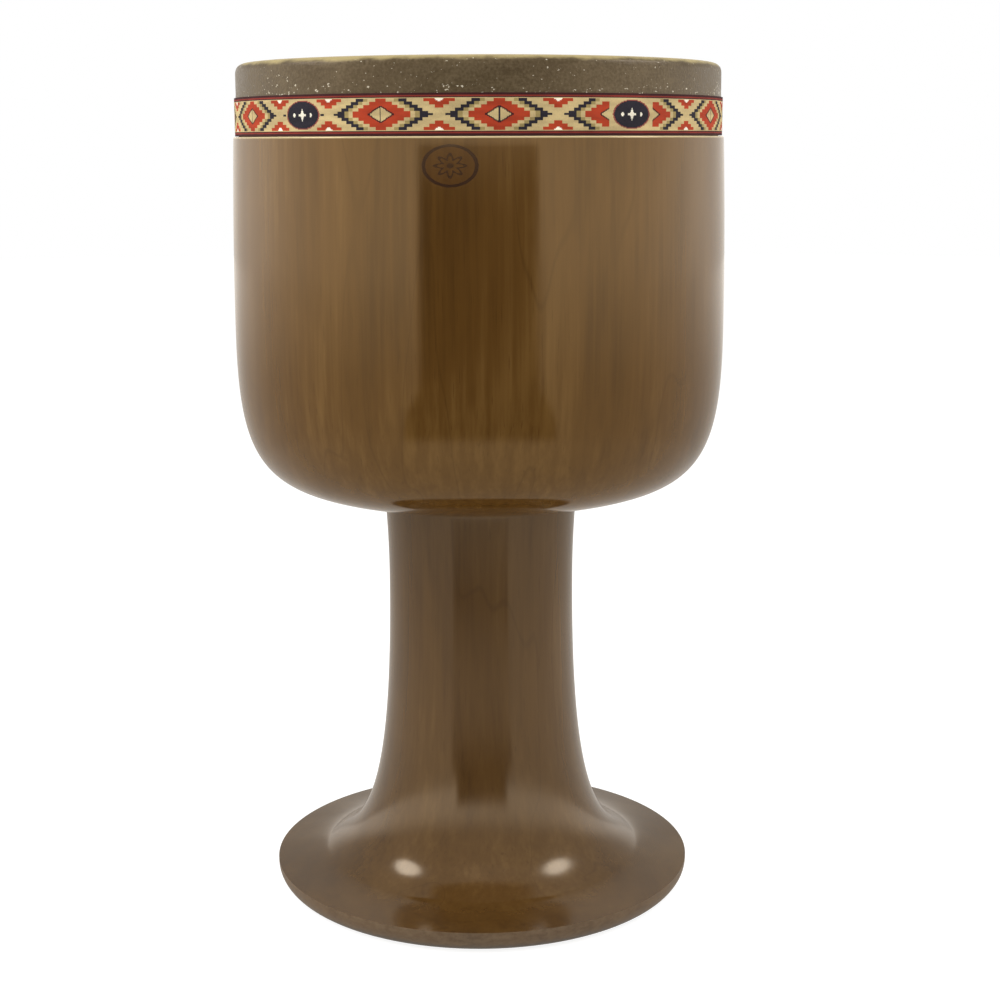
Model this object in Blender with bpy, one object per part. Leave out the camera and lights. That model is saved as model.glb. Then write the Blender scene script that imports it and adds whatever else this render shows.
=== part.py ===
# A wooden goblet drum: a turned bowl and throat joined by a glued tenon, a stretched skin head
# and a woven ribbon round its collar. Metres, +Z up, standing on z = 0 with its axis on Z.

import math

import bmesh
import bpy

# Heights
THROAT_HEIGHT = 0.238  # floor to the underside of the bowl
BOWL_DEPTH = 0.242  # underside of the bowl to the playing face
COLLAR_HEIGHT = 0.0185  # skin showing above the ribbon
RIBBON_WIDTH = 0.0206

# Bowl, outside
BELLY_RADIUS = 0.140  # the widest turning
BELLY_RISE = 0.095  # from the underside of the bowl up to the belly
BASE_RADIUS = 0.070  # flat under the bowl
CORNER_DROP = 0.723  # pull of the corner curve down the wall, as a share of BELLY_RISE
CORNER_REACH = 0.864  # the same along the underside, out from BASE_RADIUS
SHOULDER_RADIUS = 0.1380  # outside of the wall just under the ribbon
SHOULDER_ROUND = 0.0012
REBATE_DEPTH = 0.0032  # how far the skin and the ribbon are let into the wall

# Bowl, inside
WALL = 0.013
RIM_WALL = 0.011  # wood left between the rebate and the mouth
FLOOR_THICKNESS = 0.016
FLOOR_RADIUS = 0.066  # flat part of the floor inside
RIM_ROUND = 0.004  # outer corner of the bearing edge
MOUTH_ROUND = 0.002  # inner corner of the bearing edge

# Throat and foot, outside
NECK_TOP_RADIUS = 0.056
WAIST_RADIUS = 0.0543
WAIST_DROP = 0.053  # from the underside of the bowl down to the narrowest turning
COVE = 0.0065  # hollow under the bowl
COVE_LIP = 0.001
FOOT_RADIUS = 0.124
RIM_HEIGHT = 0.0136  # crisp upper edge of the foot
EDGE_ROUND = 0.0118  # rounding under that edge
FLANGE_WIDTH = 0.0303  # from the foot's edge in to where the flare begins
FLARE_HEIGHT = 0.0184
FLARE_SLOPE = math.radians(34)
FLARE_LIFT = 0.89  # pull of the flare up the neck, as a share of its height
FLARE_REACH = 0.0234  # length of its handle along the slope
FLARE_RUNOUT = 0.0042  # how far the flare's slope carries on into the flange
RIM_SLOPE = math.radians(5)
RIM_REACH = 0.0101  # how far in from the edge the flange keeps that slope

# Throat, inside
BORE_RADIUS = 0.039
BELL_DEPTH = 0.135  # height at which the bore begins to open
BELL_LIFT = 0.70  # pull of the bell's curve, as a share of BELL_DEPTH
BELL_SLOPE = math.radians(22)
BELL_REACH = 0.0265
STAND_WIDTH = 0.0095  # flat ring that the drum stands on
MOUTH_EDGE_ROUND = 0.0015

# Tenon that joins the two
TENON_RADIUS = 0.048
TENON_CHAMFER = 0.001

# Head and ribbon
SKIN_THICKNESS = 0.0009
RIBBON_THICKNESS = 0.0006
LAP_LENGTH = 0.0145  # where the ribbon's end passes over its start, at the back
LAP_RAMP = 0.029

CLEARANCE = 0.0003  # glue line between one piece and the next

SEGMENTS = 48  # round each turned piece
ARC_STEPS = 4

# Levels and radii that several pieces share
HEAD_HEIGHT = THROAT_HEIGHT + BOWL_DEPTH
LEDGE_HEIGHT = HEAD_HEIGHT - COLLAR_HEIGHT - RIBBON_WIDTH - CLEARANCE
REBATE_RADIUS = SHOULDER_RADIUS - REBATE_DEPTH
BEARING_HEIGHT = HEAD_HEIGHT - SKIN_THICKNESS - CLEARANCE
FLOOR_HEIGHT = THROAT_HEIGHT + FLOOR_THICKNESS
SKIN_INNER = REBATE_RADIUS + CLEARANCE
SKIN_OUTER = SKIN_INNER + SKIN_THICKNESS
RIBBON_INNER = SKIN_OUTER + CLEARANCE


def arc(centre, radius, start, end, steps=ARC_STEPS):
    """Points on an arc in the profile plane, angles in degrees from the outward direction."""
    points = []
    for i in range(steps + 1):
        angle = math.radians(start + (end - start) * i / steps)
        points.append((centre[0] + radius * math.cos(angle), centre[1] + radius * math.sin(angle)))
    return points


def bezier(p0, p1, p2, p3, steps):
    """Points on a cubic curve, both ends included."""
    points = []
    for i in range(steps + 1):
        t = i / steps
        weights = ((1 - t) ** 3, 3 * t * (1 - t) ** 2, 3 * t * t * (1 - t), t ** 3)
        r = sum(w * p[0] for w, p in zip(weights, (p0, p1, p2, p3)))
        z = sum(w * p[1] for w, p in zip(weights, (p0, p1, p2, p3)))
        points.append((r, z))
    return points


def bowed(start, end, bow, steps):
    """Points from start to end on a shallow curve that is upright at the end it names."""
    points = []
    for i in range(steps + 1):
        t = i / steps
        share = (1 - t) ** 2 if bow == "end" else 1 - t * t
        points.append((end[0] + (start[0] - end[0]) * share, start[1] + (end[1] - start[1]) * t))
    return points


def joined(*runs):
    """One profile from several runs of points, without repeated points."""
    profile = []
    for run in runs:
        for point in run:
            if not profile or math.dist(point, profile[-1]) > 1e-6:
                profile.append(point)
    return profile


def material(name, colour, roughness):
    finish = bpy.data.materials.new(name)
    finish.use_nodes = True
    shader = finish.node_tree.nodes["Principled BSDF"]
    shader.inputs["Base Color"].default_value = (*colour, 1.0)
    shader.inputs["Roughness"].default_value = roughness
    shader.inputs["Metallic"].default_value = 0.0
    return finish


def place(name, mesh_builder, finish):
    """Makes the object of a closed mesh, with its faces pointing out and its turnings smooth."""
    bmesh.ops.recalc_face_normals(mesh_builder, faces=mesh_builder.faces)
    mesh = bpy.data.meshes.new(name)
    mesh_builder.to_mesh(mesh)
    mesh_builder.free()
    mesh.shade_smooth()
    mesh.set_sharp_from_angle(angle=math.radians(35))
    mesh.materials.append(finish)
    made = bpy.data.objects.new(name, mesh)
    bpy.context.scene.collection.objects.link(made)
    return made


def turned(name, profile, closed, finish):
    """Turns a profile of (radius, height) points round Z. An open one starts and ends on the axis."""
    lathe = bmesh.new()
    points = [lathe.verts.new((r, 0.0, z)) for r, z in profile]
    edges = [lathe.edges.new(pair) for pair in zip(points, points[1:])]
    if closed:
        edges.append(lathe.edges.new((points[-1], points[0])))
    bmesh.ops.spin(
        lathe,
        geom=points + edges,
        axis=(0, 0, 1),
        cent=(0, 0, 0),
        angle=2 * math.pi,
        steps=SEGMENTS,
        use_merge=True,
    )
    bmesh.ops.remove_doubles(lathe, verts=lathe.verts, dist=1e-6)
    return place(name, lathe, finish)


def bowl():
    belly_height = THROAT_HEIGHT + BELLY_RISE
    inner_belly = BELLY_RADIUS - WALL
    inner_rise = belly_height - FLOOR_HEIGHT
    mouth_radius = REBATE_RADIUS - RIM_WALL
    socket_radius = TENON_RADIUS + CLEARANCE
    bearing_edge = arc((REBATE_RADIUS - RIM_ROUND, BEARING_HEIGHT - RIM_ROUND), RIM_ROUND, 90, 0)
    shoulder = arc(
        (SHOULDER_RADIUS - SHOULDER_ROUND, LEDGE_HEIGHT - SHOULDER_ROUND), SHOULDER_ROUND, 90, 0
    )
    outer_wall = bowed(
        (SHOULDER_RADIUS, LEDGE_HEIGHT - SHOULDER_ROUND), (BELLY_RADIUS, belly_height), "end", 4
    )
    outer_corner = bezier(
        (BELLY_RADIUS, belly_height),
        (BELLY_RADIUS, belly_height - BELLY_RISE * CORNER_DROP),
        (BASE_RADIUS + (BELLY_RADIUS - BASE_RADIUS) * CORNER_REACH, THROAT_HEIGHT),
        (BASE_RADIUS, THROAT_HEIGHT),
        12,
    )
    socket = [(socket_radius, THROAT_HEIGHT), (socket_radius, FLOOR_HEIGHT)]
    inner_corner = bezier(
        (FLOOR_RADIUS, FLOOR_HEIGHT),
        (FLOOR_RADIUS + (inner_belly - FLOOR_RADIUS) * CORNER_REACH, FLOOR_HEIGHT),
        (inner_belly, belly_height - inner_rise * CORNER_DROP),
        (inner_belly, belly_height),
        9,
    )
    inner_wall = bowed(
        (inner_belly, belly_height), (mouth_radius, BEARING_HEIGHT - MOUTH_ROUND), "start", 3
    )
    mouth = arc(
        (mouth_radius + MOUTH_ROUND, BEARING_HEIGHT - MOUTH_ROUND), MOUTH_ROUND, 180, 90, 2
    )
    profile = joined(
        bearing_edge,
        [(REBATE_RADIUS, LEDGE_HEIGHT)],
        shoulder,
        outer_wall,
        outer_corner,
        socket,
        inner_corner,
        inner_wall,
        mouth,
    )
    return turned("bowl", profile, True, material("bowl_wood", (0.17, 0.10, 0.045), 0.18))


def throat():
    seat_height = THROAT_HEIGHT - CLEARANCE
    waist_height = THROAT_HEIGHT - WAIST_DROP
    cove_base = seat_height - COVE_LIP - COVE
    flare_radius = FOOT_RADIUS - FLANGE_WIDTH
    stand_outer = FOOT_RADIUS - EDGE_ROUND
    stand_inner = stand_outer - STAND_WIDTH
    bell_mouth = stand_inner - MOUTH_EDGE_ROUND
    tenon = [
        (TENON_RADIUS - TENON_CHAMFER, FLOOR_HEIGHT),
        (TENON_RADIUS, FLOOR_HEIGHT - TENON_CHAMFER),
        (TENON_RADIUS, seat_height),
        (NECK_TOP_RADIUS + COVE, seat_height),
    ]
    cove = arc((NECK_TOP_RADIUS + COVE, cove_base), COVE, 90, 180)
    neck = bowed((NECK_TOP_RADIUS, cove_base), (WAIST_RADIUS, waist_height), "end", 3)
    flare = bezier(
        (WAIST_RADIUS, waist_height),
        (WAIST_RADIUS, waist_height - (waist_height - FLARE_HEIGHT) * FLARE_LIFT),
        (
            flare_radius - FLARE_REACH * math.cos(FLARE_SLOPE),
            FLARE_HEIGHT + FLARE_REACH * math.sin(FLARE_SLOPE),
        ),
        (flare_radius, FLARE_HEIGHT),
        14,
    )
    flange = bezier(
        (flare_radius, FLARE_HEIGHT),
        (flare_radius + FLARE_RUNOUT, FLARE_HEIGHT - FLARE_RUNOUT * math.tan(FLARE_SLOPE)),
        (FOOT_RADIUS - RIM_REACH, RIM_HEIGHT + RIM_REACH * math.tan(RIM_SLOPE)),
        (FOOT_RADIUS, RIM_HEIGHT),
        5,
    )
    edge = arc((stand_outer, EDGE_ROUND), EDGE_ROUND, 0, -90)
    mouth_edge = arc((stand_inner, MOUTH_EDGE_ROUND), MOUTH_EDGE_ROUND, 270, 180, 2)
    bell = bezier(
        (bell_mouth, MOUTH_EDGE_ROUND),
        (
            bell_mouth - BELL_REACH * math.cos(BELL_SLOPE),
            MOUTH_EDGE_ROUND + BELL_REACH * math.sin(BELL_SLOPE),
        ),
        (BORE_RADIUS, BELL_DEPTH * (1 - BELL_LIFT)),
        (BORE_RADIUS, BELL_DEPTH),
        10,
    )
    profile = joined(tenon, cove, neck, flare, flange, edge, mouth_edge, bell, [(BORE_RADIUS, FLOOR_HEIGHT)])
    return turned("throat", profile, True, material("throat_wood", (0.15, 0.085, 0.038), 0.18))


def skin_head():
    edge_height = LEDGE_HEIGHT + CLEARANCE
    inner_round = RIM_ROUND + CLEARANCE
    outer_round = inner_round + SKIN_THICKNESS
    outside = arc((SKIN_OUTER - outer_round, HEAD_HEIGHT - outer_round), outer_round, 90, 0)
    inside = arc((SKIN_INNER - inner_round, HEAD_HEIGHT - outer_round), inner_round, 0, 90)
    profile = joined(
        [(0.0, HEAD_HEIGHT)],
        outside,
        [(SKIN_OUTER, edge_height), (SKIN_INNER, edge_height)],
        inside,
        [(0.0, HEAD_HEIGHT - SKIN_THICKNESS)],
    )
    return turned("skin_head", profile, False, material("hide", (0.42, 0.36, 0.27), 0.6))


def ribbon():
    """A band that winds once round the collar and laps over its own start at the back."""
    bottom = LEDGE_HEIGHT + CLEARANCE
    top = bottom + RIBBON_WIDTH
    step = 2 * math.pi / SEGMENTS
    back = math.pi / 2
    lap_rise = RIBBON_THICKNESS + CLEARANCE
    ramp_angle = LAP_RAMP / RIBBON_INNER
    lap_angle = LAP_LENGTH / RIBBON_INNER
    turns = [i * step for i in range(SEGMENTS + 1)] + [2 * math.pi + lap_angle]
    band = bmesh.new()
    stations = []
    for turn in turns:
        climbed = min(1.0, max(0.0, (turn - 2 * math.pi + ramp_angle) / ramp_angle))
        inner = RIBBON_INNER + lap_rise * climbed
        outer = inner + RIBBON_THICKNESS
        x, y = math.cos(back + turn), math.sin(back + turn)
        corners = ((inner, bottom), (outer, bottom), (outer, top), (inner, top))
        stations.append([band.verts.new((r * x, r * y, z)) for r, z in corners])
    for here, there in zip(stations, stations[1:]):
        for i in range(4):
            j = (i + 1) % 4
            band.faces.new((here[i], here[j], there[j], there[i]))
    band.faces.new(stations[0][::-1])
    band.faces.new(stations[-1])
    return place("ribbon", band, material("woven_band", (0.45, 0.16, 0.08), 0.8))


def main():
    for old in list(bpy.data.objects):
        bpy.data.objects.remove(old, do_unlink=True)
    bowl()
    throat()
    skin_head()
    ribbon()


main()
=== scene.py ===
import math

import bmesh
import bpy
from mathutils import Matrix, Vector, noise


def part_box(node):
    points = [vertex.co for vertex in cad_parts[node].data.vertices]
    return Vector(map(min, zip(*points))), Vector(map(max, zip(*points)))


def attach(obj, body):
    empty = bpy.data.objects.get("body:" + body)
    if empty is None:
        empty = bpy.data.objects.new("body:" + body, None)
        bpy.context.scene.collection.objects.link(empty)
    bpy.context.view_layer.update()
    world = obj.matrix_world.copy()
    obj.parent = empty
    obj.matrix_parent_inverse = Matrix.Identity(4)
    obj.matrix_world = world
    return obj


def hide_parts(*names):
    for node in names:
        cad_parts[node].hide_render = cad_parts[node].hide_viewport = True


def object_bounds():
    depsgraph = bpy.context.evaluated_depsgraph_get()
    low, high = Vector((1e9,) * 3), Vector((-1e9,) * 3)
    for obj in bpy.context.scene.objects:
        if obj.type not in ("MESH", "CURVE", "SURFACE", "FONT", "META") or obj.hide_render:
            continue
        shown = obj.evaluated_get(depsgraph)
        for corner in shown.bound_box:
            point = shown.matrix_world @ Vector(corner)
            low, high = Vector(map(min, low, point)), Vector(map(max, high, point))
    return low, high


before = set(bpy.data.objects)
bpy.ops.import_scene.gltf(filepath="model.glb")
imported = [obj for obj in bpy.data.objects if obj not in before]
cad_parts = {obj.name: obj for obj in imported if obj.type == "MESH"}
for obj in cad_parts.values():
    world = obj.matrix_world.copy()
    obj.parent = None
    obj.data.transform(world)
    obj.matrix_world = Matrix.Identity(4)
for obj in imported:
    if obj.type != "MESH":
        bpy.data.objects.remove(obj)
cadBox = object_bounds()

print("goblet drum: frame loaded with", len(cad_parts), "nodes")

# The camera, found from the ellipses of the ribbon and of the foot in the photograph
photoCamera = {
    "place": (0.0, -1.0326, 0.43878),
    "lens": 64.19,
    "sensor": 36.0,
    "pitch": math.radians(11.425),  # looking down
    "yaw": math.radians(0.634),
    "roll": math.radians(-0.149),
    "clipStart": 0.01,
}


def measured(value):
    return round(value, 5)  # the frame is in single precision, where 0.48 reads 0.47999999


# Heights and radii that the pieces share, in metres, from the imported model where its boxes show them
bowlBox, throatBox, ribbonBox = (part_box(node) for node in ("bowl", "throat", "ribbon"))
drum = {
    "throatHeight": measured(bowlBox[0].z),
    "floorHeight": measured(throatBox[1].z),  # inside the bowl, level with the top of the tenon
    "headHeight": measured(cadBox[1].z),
    "collarHeight": measured(cadBox[1].z - ribbonBox[1].z),
    "ribbonWidth": measured(ribbonBox[1].z - ribbonBox[0].z),
    "clearance": 0.0003,
    "skinThickness": 0.0009,
    "rebateRadius": 0.1348,
    "tenonRadius": 0.048,
    "cornerReach": 0.864,
    "cornerDrop": 0.723,
}
drum["ledgeHeight"] = drum["headHeight"] - drum["collarHeight"] - drum["ribbonWidth"] - drum["clearance"]
drum["bearingHeight"] = drum["headHeight"] - drum["skinThickness"] - drum["clearance"]
drum["skinInner"] = drum["rebateRadius"] + drum["clearance"]
drum["skinOuter"] = drum["skinInner"] + drum["skinThickness"]

turning = {"segments": 288, "sharpAngle": math.radians(35), "samePoint": 1e-7}


def placeCamera():
    pitch, yaw, roll = (photoCamera[k] for k in ("pitch", "yaw", "roll"))
    forward = Vector((math.sin(yaw) * math.cos(pitch), math.cos(yaw) * math.cos(pitch), -math.sin(pitch)))
    right = Vector((math.cos(yaw), -math.sin(yaw), 0.0))
    up = right.cross(forward)
    across = right * math.cos(roll) + up * math.sin(roll)
    upright = up * math.cos(roll) - right * math.sin(roll)
    data = bpy.data.cameras.new("photoCamera")
    data.sensor_width = photoCamera["sensor"]
    data.sensor_height = photoCamera["sensor"]
    data.sensor_fit = "HORIZONTAL"
    data.lens = photoCamera["lens"]
    data.clip_start = photoCamera["clipStart"]
    camera = bpy.data.objects.new("photoCamera", data)
    bpy.context.scene.collection.objects.link(camera)
    turn = Matrix((across, upright, -forward)).transposed().to_4x4()
    camera.matrix_world = Matrix.Translation(photoCamera["place"]) @ turn
    bpy.context.scene.camera = camera


# Node helpers: a socket is linked, anything else is set as the value. Sockets that share
# their name with another of the same node go by number
def feed(tree, made, inputs):
    for key, value in inputs.items():
        if isinstance(value, bpy.types.NodeSocket):
            tree.links.new(value, made.inputs[key])
        else:
            made.inputs[key].default_value = value


def addNode(tree, kind, inputs=None, **settings):
    made = tree.nodes.new(kind)
    for key, value in settings.items():
        setattr(made, key, value)
    feed(tree, made, inputs or {})
    return made


def maths(tree, operation, a, b=0.0):
    return addNode(tree, "ShaderNodeMath", {0: a, 1: b}, operation=operation).outputs[0]


def apart(tree, a, b):
    return maths(tree, "ABSOLUTE", maths(tree, "SUBTRACT", a, b))


def swayed(tree, value, wander, reach):
    return maths(tree, "ADD", value, maths(tree, "MULTIPLY", maths(tree, "SUBTRACT", wander, 0.5), reach))


def remap(tree, value, low, high, toLow=0.0, toHigh=1.0):
    inputs = {"Value": value, "From Min": low, "From Max": high, "To Min": toLow, "To Max": toHigh}
    return addNode(tree, "ShaderNodeMapRange", inputs, interpolation_type="SMOOTHSTEP").outputs["Result"]


def mixLevel(tree, share, a, b):
    return addNode(tree, "ShaderNodeMix", {0: share, 2: a, 3: b}).outputs[0]


def mixColour(tree, share, a, b, mode="MIX"):
    made = addNode(tree, "ShaderNodeMix", {0: share, 6: a, 7: b}, data_type="RGBA", blend_type=mode)
    return made.outputs[2]


def stretched(tree, vector, scale, place=(0.0, 0.0, 0.0), lean=(0.0, 0.0, 0.0)):
    inputs = {"Vector": vector, "Location": place, "Rotation": lean, "Scale": scale}
    return addNode(tree, "ShaderNodeMapping", inputs).outputs["Vector"]


def noiseAt(tree, vector, scale, detail, roughness=0.5, distortion=0.0, place=(0.0, 0.0, 0.0)):
    inputs = {
        "Vector": stretched(tree, vector, scale, place),
        "Scale": 1.0,
        "Detail": detail,
        "Roughness": roughness,
        "Distortion": distortion,
    }
    return addNode(tree, "ShaderNodeTexNoise", inputs).outputs["Fac"]


def splitParts(tree, vector):
    return addNode(tree, "ShaderNodeSeparateXYZ", {0: vector}).outputs


def awayFrom(tree, across, upward):
    flat = addNode(tree, "ShaderNodeCombineXYZ", {"X": across, "Y": upward}).outputs[0]
    return addNode(tree, "ShaderNodeVectorMath", {0: flat}, operation="LENGTH").outputs["Value"]


def bumped(tree, height, strength, depth, under=None):
    inputs = {"Height": height, "Strength": strength, "Distance": depth}
    if under is not None:
        inputs["Normal"] = under
    return addNode(tree, "ShaderNodeBump", inputs).outputs["Normal"]


def rgba(colour):
    return (*colour, 1.0)


def grey(level):
    return (level, level, level, 1.0)


def newFinish(name):
    finish = bpy.data.materials.new(name)
    finish.use_nodes = True
    tree = finish.node_tree
    shader = tree.nodes["Principled BSDF"]
    coordinates = addNode(tree, "ShaderNodeTexCoord").outputs["Object"]
    return finish, tree, shader, coordinates


# Turned wood: growth rings round a pith that lies off the axis, fine fibres and short dark pores.
# The scales of noise are counts per metre, two across the wood and one along it. A pair of
# levels is where a noise begins to show and where it shows in full
woodFigure = {
    "flow": (5.0, 5.0, 1.6),
    "flowReach": 0.075,  # how far the rings wander
    "fibres": (300.0, 300.0, 9.0),
    "clouds": (13.0, 13.0, 5.0),
    "ringShare": 0.055,
    "fibreShare": 0.46,
    "cloudShare": 0.80,
    "heartToMiddle": (0.42, 0.68),
    "middleToPale": (0.64, 0.92),
    "lines": (16.0, 16.0, 2.2),  # a few dark lines, where this noise crosses lineLevel
    "linesPlace": (1.3, 0.4, 0.2),
    "lineLevel": 0.56,
    "lineWidth": 0.005,
    "lineDepth": 0.40,
    "pores": (900.0, 900.0, 46.0),
    "poreLevels": (0.66, 0.76),
    "poreDepth": 0.5,
}
bowlWood = {
    "heart": (0.046, 0.0205, 0.0040),
    "middle": (0.070, 0.0325, 0.0066),
    "pale": (0.104, 0.0540, 0.0140),
    "pith": (0.19, 0.11, 0.0),
    "lean": (0.16, -0.10, 0.0),
    "ringWidth": 0.0125,
    "roughness": 0.085,
    "specular": 0.82,
    "reflection": (1.0, 0.74, 0.44),  # the lacquer is faintly amber, so its reflections are warm
}
throatWood = dict(
    bowlWood,
    heart=(0.044, 0.0205, 0.0055),
    middle=(0.066, 0.0325, 0.0085),
    pale=(0.092, 0.0490, 0.0145),
    pith=(-0.05, 0.06, 0.0),
    lean=(-0.10, 0.14, 0.0),
    ringWidth=0.016,
    roughness=0.13,
    reflection=(1.0, 0.85, 0.66),
)


def woodColour(tree, coordinates, look):
    f = woodFigure
    flow = noiseAt(tree, coordinates, f["flow"], detail=3.0, roughness=0.55)
    placed = splitParts(tree, stretched(tree, coordinates, (1.0, 1.0, 1.0), look["pith"], look["lean"]))
    away = awayFrom(tree, placed["X"], placed["Y"])
    wandered = maths(tree, "ADD", away, maths(tree, "MULTIPLY", flow, f["flowReach"]))
    rings = maths(tree, "SINE", maths(tree, "MULTIPLY", wandered, 2 * math.pi / look["ringWidth"]))
    fibres = noiseAt(tree, coordinates, f["fibres"], detail=4.0, roughness=0.6)
    clouds = noiseAt(tree, coordinates, f["clouds"], detail=4.0, roughness=0.55, distortion=0.7)
    tone = maths(tree, "MULTIPLY", remap(tree, rings, -1.0, 1.0), f["ringShare"])
    tone = maths(tree, "ADD", tone, maths(tree, "MULTIPLY", fibres, f["fibreShare"]))
    tone = maths(tree, "ADD", tone, maths(tree, "MULTIPLY", clouds, f["cloudShare"]))
    middling = remap(tree, tone, *f["heartToMiddle"])
    dark = mixColour(tree, middling, rgba(look["heart"]), rgba(look["middle"]))
    colour = mixColour(tree, remap(tree, tone, *f["middleToPale"]), dark, rgba(look["pale"]))
    # One or two wandering dark lines, as a knot nearby leaves them
    streaks = noiseAt(tree, coordinates, f["lines"], detail=2.0, place=f["linesPlace"])
    lines = remap(tree, apart(tree, streaks, f["lineLevel"]), 0.0, f["lineWidth"], f["lineDepth"], 0.0)
    colour = mixColour(tree, lines, colour, rgba(look["heart"]))
    pores = noiseAt(tree, coordinates, f["pores"], detail=1.0)
    pores = remap(tree, pores, *f["poreLevels"], 0.0, f["poreDepth"])
    return mixColour(tree, pores, colour, rgba(look["heart"])), fibres


# An oval burnt into the wall below the ribbon, with a plain rosette in it
burntMark = {
    "x": -0.0143,
    "drop": 0.0144,  # from the ledge down to its middle
    "halfWidth": 0.0132,
    "halfHeight": 0.0098,
    "ink": (0.020, 0.0075, 0.0045),
    "scorch": (0.055, 0.020, 0.006),
    "scorchShare": 0.32,
    "frontWall": (-0.02, -0.01),  # it is burnt on the side of the drum where y is below these
    "shake": (420.0, 420.0, 420.0),
    # From here on, 1 is the distance from the middle to the oval
    "shakeReach": 0.05,
    "lineWidth": 0.05,
    "outlineFade": 1.8,  # in widths of the line, and so is the next
    "rosetteFade": 2.0,
    "petals": 8.0,
    "petalRadius": 0.44,
    "petalReach": 0.13,
    "petalShare": 0.85,
    "centre": (0.10, 0.17),
    "scorched": (0.85, 1.15),
}


def markOn(tree, coordinates, colour):
    m = burntMark
    parts = splitParts(tree, coordinates)
    across = maths(tree, "DIVIDE", maths(tree, "SUBTRACT", parts["X"], m["x"]), m["halfWidth"])
    middle = drum["ledgeHeight"] - m["drop"]
    upward = maths(tree, "DIVIDE", maths(tree, "SUBTRACT", parts["Z"], middle), m["halfHeight"])
    shaky = noiseAt(tree, coordinates, m["shake"], detail=2.0)
    away = swayed(tree, awayFrom(tree, across, upward), shaky, m["shakeReach"])
    angle = maths(tree, "ARCTAN2", upward, across)
    petals = maths(tree, "COSINE", maths(tree, "MULTIPLY", angle, m["petals"]))
    petalEdge = maths(tree, "ADD", maths(tree, "MULTIPLY", petals, m["petalReach"]), m["petalRadius"])
    width = m["lineWidth"]
    outline = remap(tree, apart(tree, away, 1.0), width, width * m["outlineFade"], 1.0, 0.0)
    fade = width * m["rosetteFade"]
    rosette = remap(tree, apart(tree, away, petalEdge), width, fade, m["petalShare"], 0.0)
    centre = remap(tree, away, *m["centre"], m["petalShare"], 0.0)
    ink = maths(tree, "MAXIMUM", maths(tree, "MAXIMUM", outline, rosette), centre)
    front = remap(tree, parts["Y"], *m["frontWall"], 1.0, 0.0)
    scorched = remap(tree, away, *m["scorched"], m["scorchShare"], 0.0)
    colour = mixColour(tree, maths(tree, "MULTIPLY", scorched, front), colour, rgba(m["scorch"]))
    return mixColour(tree, maths(tree, "MULTIPLY", ink, front), colour, rgba(m["ink"]))


# Brushed lacquer over all the wood that shows
lacquer = {
    "handling": (9.0, 9.0, 9.0),
    "handledLevels": (0.35, 0.75),
    "wear": 0.07,  # roughness that handling adds
    "pull": (26.0, 26.0, 7.0),  # slow waves left by the brush
    "pullStrength": 0.35,
    "pullDepth": 0.0009,
    "grainStrength": 0.10,
    "grainDepth": 0.0002,
    "refraction": 1.5,
    # The pale line under the ribbon is a painted highlight on the shoulder
    "shoulderHighlight": (0.56, 0.46, 0.27),
    "shoulderHighlightDepth": (0.0013, 0.0003),  # below the ledge
    "shoulderHighlightShare": 0.9,
}


def lacqueredWood(name, look, marked=False):
    finish, tree, shader, coordinates = newFinish(name)
    colour, fibres = woodColour(tree, coordinates, look)
    if marked:
        colour = markOn(tree, coordinates, colour)
        # A pale line painted along the shoulder under the ribbon: a painted highlight
        low, high = (drum["ledgeHeight"] - depth for depth in lacquer["shoulderHighlightDepth"])
        shoulder = remap(tree, splitParts(tree, coordinates)["Z"], low, high, 0.0, lacquer["shoulderHighlightShare"])
        colour = mixColour(tree, shoulder, colour, rgba(lacquer["shoulderHighlight"]))
    handling = noiseAt(tree, coordinates, lacquer["handling"], detail=4.0, roughness=0.6)
    rough = look["roughness"]
    pull = noiseAt(tree, coordinates, lacquer["pull"], detail=1.0)
    waves = bumped(tree, pull, lacquer["pullStrength"], lacquer["pullDepth"])
    feed(tree, shader, {
        "Base Color": colour,
        "Roughness": remap(tree, handling, *lacquer["handledLevels"], rough, rough + lacquer["wear"]),
        "IOR": lacquer["refraction"],
        "Specular IOR Level": look["specular"],
        "Specular Tint": rgba(look["reflection"]),
        "Normal": bumped(tree, fibres, lacquer["grainStrength"], lacquer["grainDepth"], waves),
    })
    return finish


# The foot's edge and what it stands on: lacquer worn to a satin, darker where it meets the floor
footEdge = {
    "tan": (0.125, 0.080, 0.040),
    "darkBottom": (0.040, 0.026, 0.014),
    "darkBottomHeights": (0.0022, 0.0070),
    "darkBottomShare": 0.9,
    "darkBottomWander": 0.004,
    "speckle": (260.0, 260.0, 420.0),
    "speckleLevels": (0.30, 0.72),
    "tanShares": (0.30, 0.95),
    "roughness": 0.38,
    "roughLevels": (0.3, 0.8),
    "roughnessSpread": 0.2,
    "bumpStrength": 0.25,
    "bumpDepth": 0.0004,
}


def wornWood(name, look):
    finish, tree, shader, coordinates = newFinish(name)
    colour = woodColour(tree, coordinates, look)[0]
    speckle = noiseAt(tree, coordinates, footEdge["speckle"], detail=3.0, roughness=0.7)
    worn = remap(tree, speckle, *footEdge["speckleLevels"], *footEdge["tanShares"])
    colour = mixColour(tree, worn, colour, rgba(footEdge["tan"]))
    # Darker towards the bottom of the edge, by the floor
    height = swayed(tree, splitParts(tree, coordinates)["Z"], speckle, footEdge["darkBottomWander"])
    low = remap(tree, height, *footEdge["darkBottomHeights"], footEdge["darkBottomShare"], 0.0)
    rough, spread = footEdge["roughness"], footEdge["roughnessSpread"]
    feed(tree, shader, {
        "Base Color": mixColour(tree, low, colour, rgba(footEdge["darkBottom"])),
        "Roughness": remap(tree, speckle, *footEdge["roughLevels"], rough, rough + spread),
        "Normal": bumped(tree, speckle, footEdge["bumpStrength"], footEdge["bumpDepth"]),
    })
    return finish


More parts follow.
